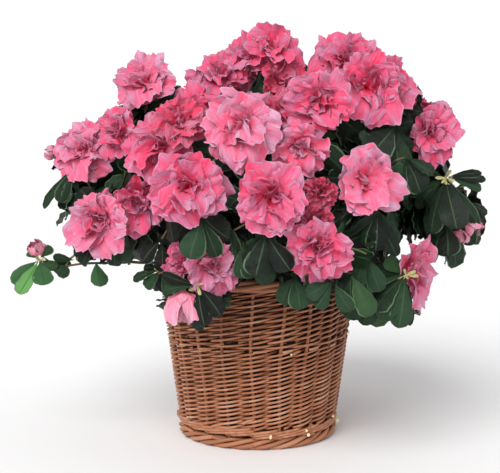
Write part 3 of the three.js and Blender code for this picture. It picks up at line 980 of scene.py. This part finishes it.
def whorl(tip, point, count, length, spread, curl, tints):
    """The leaves round a shoot's tip, as arguments for add_leaves."""
    first, second = basis(np.repeat(point[None], count, 0), np.full(count, rng.uniform(0, ROUND)))
    turn = (np.arange(count) * GOLDEN + rng.normal(0, 0.2, count))[:, None]
    out = first * np.cos(turn) + second * np.sin(turn)
    lean = np.radians(rng.normal(spread, 14, count))[:, None]
    way = out * np.sin(lean) + point * np.cos(lean) - UP * DROOP * rng.uniform(0.4, 1.4, (count, 1))
    normal = point - out * 0.15 + rng.normal(0, 0.18, (count, 3)) + UP * 0.35
    base = tip - point * rng.uniform(0, 7, (count, 1)) * MM + out * MM
    size = length * rng.uniform(0.72, 1.12, count)
    wide = size * rng.uniform(0.42, 0.52, count)
    tint = rng.choice(tints) if rng.random() < 0.6 else rng.choice(tints, size=count)
    return base, way, normal, size, wide, rng.normal(curl, 0.25, count), np.broadcast_to(tint, (count,))


def hides_flower(flowers, spots):
    """Which spots are in the cup of a flower, or in front of it."""
    hidden = np.zeros(len(spots), bool)
    for _, front, face, width, opening, _ in flowers:
        if face[1] < -0.4:
            off = spots - front
            hidden |= (np.hypot(off[:, 0], off[:, 2]) < 0.42 * width) & (off[:, 1] < 0.1 * width)
        if opening:
            arm = spots - (front - face * flower_depth(width, opening))
            high = arm @ face
            far = np.linalg.norm(arm - high[:, None] * face, axis=1)
            reach = 0.46 * width * np.clip(high / (0.3 * width), 0.3, 1)
            hidden |= (high > 3 * MM) & (high < 55 * MM) & (far < reach)
    return hidden


def outside(points):
    """How far points lie outside the masses, taking each as an ellipsoid."""
    away = np.full(len(points), 1.0)
    for name in MASSES:
        half = (BOXES[name][1] - BOXES[name][0]) / 2
        away = np.minimum(away, (np.linalg.norm((points - MIDDLES[name]) / half, axis=1) - 1) * half.min())
    return away


def is_clear(flowers, leaves):
    """Which leaves lie in no flower's way and in no gap of the crown."""
    base, way, _, length = leaves[:4]
    clear = np.ones(len(base), bool)
    for share in (0.35, 0.7, 1.0):
        clear &= ~hides_flower(flowers, base + unit(way) * (share * length)[:, None])
    for share, reach in ((0.3, 3 * MM), (0.65, 5 * MM), (0.95, 0)):
        clear &= ~in_sky(base + unit(way) * (share * length)[:, None], reach)
    return clear


def is_inside(leaves):
    """Which leaves have their tip in the crown and off the basket's rim."""
    tip = leaves[0] + unit(leaves[1]) * (0.93 * leaves[3])[:, None]
    proud = outside(tip) > np.where(tip[:, 2] > HIGH, 3, 8) * MM
    low = tip[:, 2] < rim_high.z + 8 * MM
    return ~(proud | low & (np.hypot(tip[:, 0], tip[:, 1]) < rim_high.x + 25 * MM))


def part_of_crown(place):
    return "back" if place[1] > 0 else "front"


def build_leaves(flowers, stalks, tips, gap_shoots, hubs, whorls):
    pieces = {"front": Piece(), "back": Piece()}
    rows = {"front": [], "back": []}
    for (name, front, face, _, opening, _), stalk in zip(flowers, stalks):
        if name != SHOOT and not is_small(opening):
            rows[part_of_crown(front)].append(whorl(stalk, face, rng.integers(5, 8), 38 * MM, 82, 0.5, DARK))
    for _, tip, point, place, size in tips:
        rows[part_of_crown(place)].append(whorl(tip, point, rng.integers(6, 9), size, 66, 0.55, DARK + [3]))
    for name, hub in hubs:
        out = unit(hub - CORE)
        if name != SHOOT:
            # painted shade: leaves deep inside the crown take only the two darkest greens
            rows[part_of_crown(hub)].append(whorl(hub, out, 9, 40 * MM, 85, 0.4, [2, 0]))
            rows[part_of_crown(hub)].append(whorl(hub - out * 14 * MM, out, 8, 38 * MM, 95, 0.4, [2, 0]))
    for _, tip, point, place, size in gap_shoots:
        leaves = whorl(tip, point, rng.integers(7, 10), size, 70, 0.5, DARK)
        keep = is_clear(flowers, leaves)
        add_leaves(pieces[part_of_crown(place)], *(column[keep] for column in leaves))
    for part, piece in pieces.items():
        leaves = [np.concatenate(column) for column in zip(*rows[part])]
        keep = is_clear(flowers, leaves) & is_inside(leaves)
        add_leaves(piece, *(column[keep] for column in leaves))
    for _, centre, scales, table in whorls:
        add_leaves(pieces["front"], *placed_leaves(centre, np.array(table, float)))
        if scales:
            add_leaves(pieces["front"], *bud_scales(centre, scales))
    for part, piece in pieces.items():
        nodes = [name for name in MASSES if name in LEAFY and part_of_crown(MIDDLES[name]) == part]
        piece.make(f"leaves_{part}", LEAF_LOOKS, "foliage", nodes)


# Whorls at the front: how far each is across and above its mass's middle and behind its front (for the thin
# shoot, its middle), in mm, how many bud scales it has, and its leaves. A leaf is the way it points from the
# front (0 right, 90 up), how far it leans to the viewer, its length and width and, on that shoot, its tint.
FRONT_WHORLS = {
    "fan_right": [
        (-5, 27, -11, 8, [
            (-158, 10, 29, 9), (-140, 15, 30, 10), (-112, 25, 42, 17), (-86, 42, 42, 24), (-71, 5, 47, 12),
            (-56, 0, 44, 11), (-9, 0, 28, 9), (2, -5, 31, 8), (13, -8, 27, 7), (160, 5, 26, 9),
        ]),
        (9, 9, 8, 0, [(-24, 0, 23, 8), (-59, 0, 36, 13), (-80, 5, 34, 14), (-44, -5, 27, 9)]),
        (-4, -6, 4, 0, [(-87, 30, 25, 20), (-68, 5, 35, 18), (-120, 10, 17, 13), (-104, 0, 19, 15)]),
        (-20, 27, 10, 0, [(133, 10, 27, 17), (165, 5, 24, 13), (-150, 10, 26, 15)]),
    ],
    "spray_right": [
        (7, 2, -4, 6, [
            (-177, 10, 29, 12), (137, 15, 18, 12), (-122, 20, 35, 17), (-101, 25, 37, 18),
            (-86, -5, 38, 7), (-142, 20, 32, 17), (165, 0, 24, 12),
        ]),
        (-12, -6, 6, 0, [(-135, 15, 32, 18), (-112, 15, 30, 17), (-95, 5, 32, 18)]),
    ],
    "cheek_right": [
        (10, -15, 4, 0, [
            (-95, 15, 28, 17), (-72, 10, 34, 11), (-60, 5, 34, 10), (-48, 0, 30, 9), (-115, 5, 26, 15),
        ]),
        (32, 20, 14, 0, [(-60, 20, 26, 18), (-20, 10, 22, 13), (-100, 10, 26, 16)]),
    ],
    "head_right": [
        (6, -12, -4, 0, [
            (-132, 45, 31, 25), (-162, 20, 26, 14), (-64, 25, 20, 14), (-84, 25, 32, 21), (22, 10, 12, 8),
        ]),
        (9, 0, 14, 0, [(4, 15, 18, 9), (-66, 10, 18, 12), (-95, 15, 24, 15)]),
        (-16, -18, 6, 0, [(-100, 30, 22, 13), (-60, 20, 20, 13)]),
    ],
    "chin_right": [
        (-24, -14, 6, 0, [(-85, 20, 23, 16), (-60, 10, 22, 13), (-120, 10, 22, 13)]),
        (2, -17, 4, 0, [(-160, 25, 20, 13), (-128, 20, 20, 13), (-62, 18, 22, 13)]),
        (14, -12, 6, 0, [(-62, 18, 31, 17), (-90, 15, 24, 14)]),
        (-26, 13, 8, 0, [(-30, 20, 25, 15)]),
        (26, 0, 8, 0, [(-110, 10, 25, 14), (-70, 10, 27, 15)]),
    ],
    "cheek_front": [
        (-8, -17, 6, 0, [(-100, 25, 29, 21), (-55, 20, 29, 18), (-130, 15, 26, 16)]),
        (-30, -18, 12, 0, [(-70, 10, 31, 17), (-105, 10, 28, 16)]),
        (14, -28, 12, 0, [(-100, 10, 28, 16)]),
    ],
    "cheek_left": [
        (14, -10, 6, 0, [(-106, 30, 28, 20), (-70, 5, 27, 14)]),
        (30, -12, 16, 0, [(-80, 10, 28, 14)]),
        (-16, -28, 14, 0, [(-135, 10, 20, 12), (-90, 10, 22, 14)]),
    ],
    "chin_front": [
        (-3, 12, 10, 0, [(-97, 15, 24, 14), (-75, 15, 24, 14)]),
        (10, 10, 12, 0, [(-80, 15, 26, 15), (-45, 10, 22, 13)]),
    ],
    "spray_left": [
        (3, 8, -6, 6, [(160, 20, 25, 8), (-178, 20, 24, 7), (-80, 22, 27, 15), (-50, 15, 25, 14)]),
        (-24, 15, 4, 4, [
            (-168, 5, 22, 8), (-140, 10, 17, 10), (-80, 10, 20, 8), (-115, 5, 16, 8), (172, -5, 12, 7),
        ]),
    ],
    "chin_left": [
        (-23, 37, 8, 0, [(-130, 8, 38, 7), (-110, 15, 27, 12), (-98, 10, 26, 14)]),
        (10, -16, 10, 0, [(-95, 10, 17, 12), (-60, 5, 18, 12)]),
        (-6, -19, 14, 0, [(-130, 5, 18, 12), (-160, 5, 16, 10)]),
    ],
    "shoulder_left": [
        (8, -12, 6, 0, [(-70, 25, 25, 16), (-110, 20, 25, 16), (190, 20, 24, 14)]),
        (30, -14, 12, 0, [(-100, 10, 30, 17), (-70, 10, 26, 16)]),
    ],
    "head_left": [(0, -16, 4, 0, [(28, 10, 36, 15), (8, 10, 38, 16), (200, 0, 24, 14)])],
    "shoot_left": [
        (-13, 8, 0, 5, [
            (-145, 15, 26, 12, 6), (-119, 25, 29, 14, 5), (-70, 35, 20, 17, 6), (-20, 20, 14, 9, 3),
            (50, 0, 12, 9, 3), (150, 0, 9, 5, 6),
        ]),
        (-7, 3, 1, 0, [(-14, 15, 17, 12, 4), (12, 0, 17, 7, 1)]),
        (31, 8, 0, 0, [(-85, 15, 20, 14, 6), (165, 0, 14, 6, 1)]),
        (16, 7, 1, 0, [(168, 5, 17, 8, 1), (20, 5, 12, 8, 0)]),
    ],
}


def front_whorls():
    """The whorls of the table, as (mass, centre, number of bud scales, leaves)."""
    places = []
    for short, table in FRONT_WHORLS.items():
        name = "mass_" + short
        tints = [1, 4, 3, 4, 1] if name in SKIRT else [0, 1, 4, 2, 1]
        for across, up, sunk, scales, leaves in table:
            centre = MIDDLES[name] + np.array([across, 0, up]) * MM
            if name != SHOOT:
                centre[1] = front_of(name, across, up)[1]
            centre[1] += sunk * MM
            leaves = [row + (rng.choice(tints),) if len(row) == 4 else row for row in leaves]
            places.append((name, centre, scales, leaves))
    return places


def fan(roll, lean):
    """Directions, in radians round the view from the front and towards the viewer."""
    return np.stack([np.cos(roll) * np.cos(lean), -np.sin(lean), np.sin(roll) * np.cos(lean)], 1)


def placed_leaves(centre, table):
    """The leaves of a whorl from the table, as arguments for add_leaves."""
    roll, lean, length, width, tint = table.T
    way = fan(np.radians(roll), np.radians(lean))
    normal = np.array([0, -1.0, 0.55]) + rng.normal(0, 0.2, (len(table), 3))
    curl = rng.uniform(0.25, 0.7, len(table))
    return centre + way * 2 * MM, way, normal, length * MM, width * MM, curl, tint.astype(int)


def bud_scales(centre, count):
    """Pale narrow scales that stand out all round the middle of a whorl."""
    roll = np.radians(rng.uniform(0, 360) + np.arange(count) * 360 / count + rng.normal(0, 28, count))
    way = fan(roll, np.radians(rng.uniform(0, 75, count)))
    normal = np.repeat([[0, -1.0, 0.3]], count, 0)
    length = rng.uniform(4, 11, count) * MM
    curl = rng.uniform(-0.4, 0.6, count)
    return centre - way * MM, way, normal, length, 0.28 * length, curl, np.full(count, SCALE)


# ---- twigs
TWIG_TINTS = [(96, 74, 50), (112, 92, 58), (98, 98, 58)]


def bowed(start, end, stray):
    """A point near the middle between two."""
    return (start + end) / 2 + rng.normal(0, stray, 3)


def reach_masses(bough_ends, limbs):
    """Adds a limb into every mass, from its bough or the nearest mass, and returns their ends."""
    reached = {}
    for name, (end, thin) in bough_ends.items():
        hub = MIDDLES[name] - OUTWARD[name] * 8 * MM
        reached[name] = hub
        limbs.append((end - unit(hub - end) * 2 * MM, bowed(end, hub, 2 * MM), hub, thin, 0.8 * thin))
    waiting = [name for name in MASSES if name not in reached]
    while waiting:
        parents = [name for name in reached if name != SHOOT]
        gap, name, parent = min((distance(MIDDLES[w], MIDDLES[r]), w, r) for w in waiting for r in parents)
        hub = MIDDLES[name] - OUTWARD[name] * 8 * MM
        half_way = (reached[parent] + hub) / 2
        bend = half_way - unit(half_way - CORE) * 0.2 * gap
        limbs.append((reached[parent], bend, hub, 1.25 * MM, 1.1 * MM))
        reached[name] = hub
        waiting.remove(name)
    return reached


def fork_to_goals(name, hub, goals, limbs, hubs):
    """Adds forks from a mass's hub, each to about three goals side by side."""
    first, second = basis(OUTWARD[name][None], np.zeros(1))
    turn = np.arctan2((goals - MIDDLES[name]) @ second[0], (goals - MIDDLES[name]) @ first[0])
    for group in np.array_split(goals[np.argsort(turn)], max(1, len(goals) // 3)):
        fork = hub + 0.5 * (group.mean(0) - hub) + rng.normal(0, 2 * MM, 3)
        limbs.append((hub, bowed(hub, fork, 2 * MM), fork, 1.1 * MM, 0.9 * MM))
        hubs.append((name, fork))
        for goal in group:
            limbs.append((fork, bowed(fork, goal, 2.5 * MM), goal, 0.85 * MM, 0.7 * MM))


def build_twigs(bough_ends, flowers, stalks, tips, whorls):
    """Grows limbs on from the boughs, and forks them towards the flowers, shoots and whorls."""
    limbs, hubs = [], []
    for name, hub in sorted(reach_masses(bough_ends, limbs).items()):
        goals = [stalk for stalk, flower in zip(stalks, flowers) if flower[0] == name]
        goals += [tip[1] for tip in tips if tip[0] == name]
        goals += [row[1] + [0, MM, 0] for row in whorls if row[0] == name]
        if goals:
            fork_to_goals(name, hub, np.array(goals), limbs, hubs)
    start, bend, end, thick, thin = (np.array(column) for column in zip(*limbs))
    radii = thick[:, None] + (thin - thick)[:, None] * np.linspace(0, 1, 9)[None]
    radii = radii * (1 + 0.08 * rng.normal(0, 1, radii.shape))
    twigs = Piece()
    looks = rng.choice(3, size=(len(limbs), 1, 1))
    twigs.grids(tube_grid(bezier(start, bend, end, 9), radii, 6), looks, closed=True)
    wood = [principled(f"twig_{i}", srgb(*tint), 0.75) for i, tint in enumerate(TWIG_TINTS)]
    twigs.make("twigs", wood, "bark")
    return hubs


bough_ends = build_limbs()
flowers = place_flowers()
tips = place_leaf_tips(flowers)
stalks = build_flowers(flowers)
whorls = front_whorls()
gap_shoots = place_gap_shoots(flowers)
hubs = build_twigs(bough_ends, flowers, stalks, tips + gap_shoots, whorls)
build_leaves(flowers, stalks, tips, gap_shoots, hubs, whorls)
print(len(flowers), "flowers", len(tips), "leafy shoots", len(gap_shoots), "in gaps", len(hubs), "forks")

# ---- floor and light
FAR = 20
floor_mesh = bpy.data.meshes.new("floor")
floor_mesh.from_pydata([(-FAR, -FAR, 0), (FAR, -FAR, 0), (FAR, FAR, 0), (-FAR, FAR, 0)], [], [(0, 1, 2, 3)])
floor = bpy.data.objects.new("floor", floor_mesh)
floor.data.materials.append(principled("floor", (0.92, 0.92, 0.92), 0.8))
bpy.context.scene.collection.objects.link(floor)

sun = bpy.data.lights.new("sun", "SUN")
sun.energy = 2.7
sun.angle = math.radians(42)
sun_lamp = bpy.data.objects.new("sun", sun)
sun_lamp.rotation_euler = Vector((0.4, 1.0, -0.9)).to_track_quat("-Z", "Y").to_euler()
bpy.context.scene.collection.objects.link(sun_lamp)

# The sky is bright at the horizon and darker above.
world = bpy.data.worlds.new("world")
world.use_nodes = True
tree = world.node_tree
sky = add_node(tree, "TexCoord")
parts = add_node(tree, "SeparateXYZ")
fade = add_node(tree, "MapRange", From_Min=0.12, From_Max=0.5, To_Min=1.05, To_Max=0.56)
tree.links.new(sky.outputs["Generated"], parts.inputs["Vector"])
tree.links.new(parts.outputs["Z"], fade.inputs["Value"])
tree.links.new(fade.outputs["Result"], tree.nodes["Background"].inputs["Strength"])
tree.nodes["Background"].inputs["Color"].default_value = (1, 1, 1, 1)
bpy.context.scene.world = world
bpy.context.scene.view_settings.view_transform = "Standard"
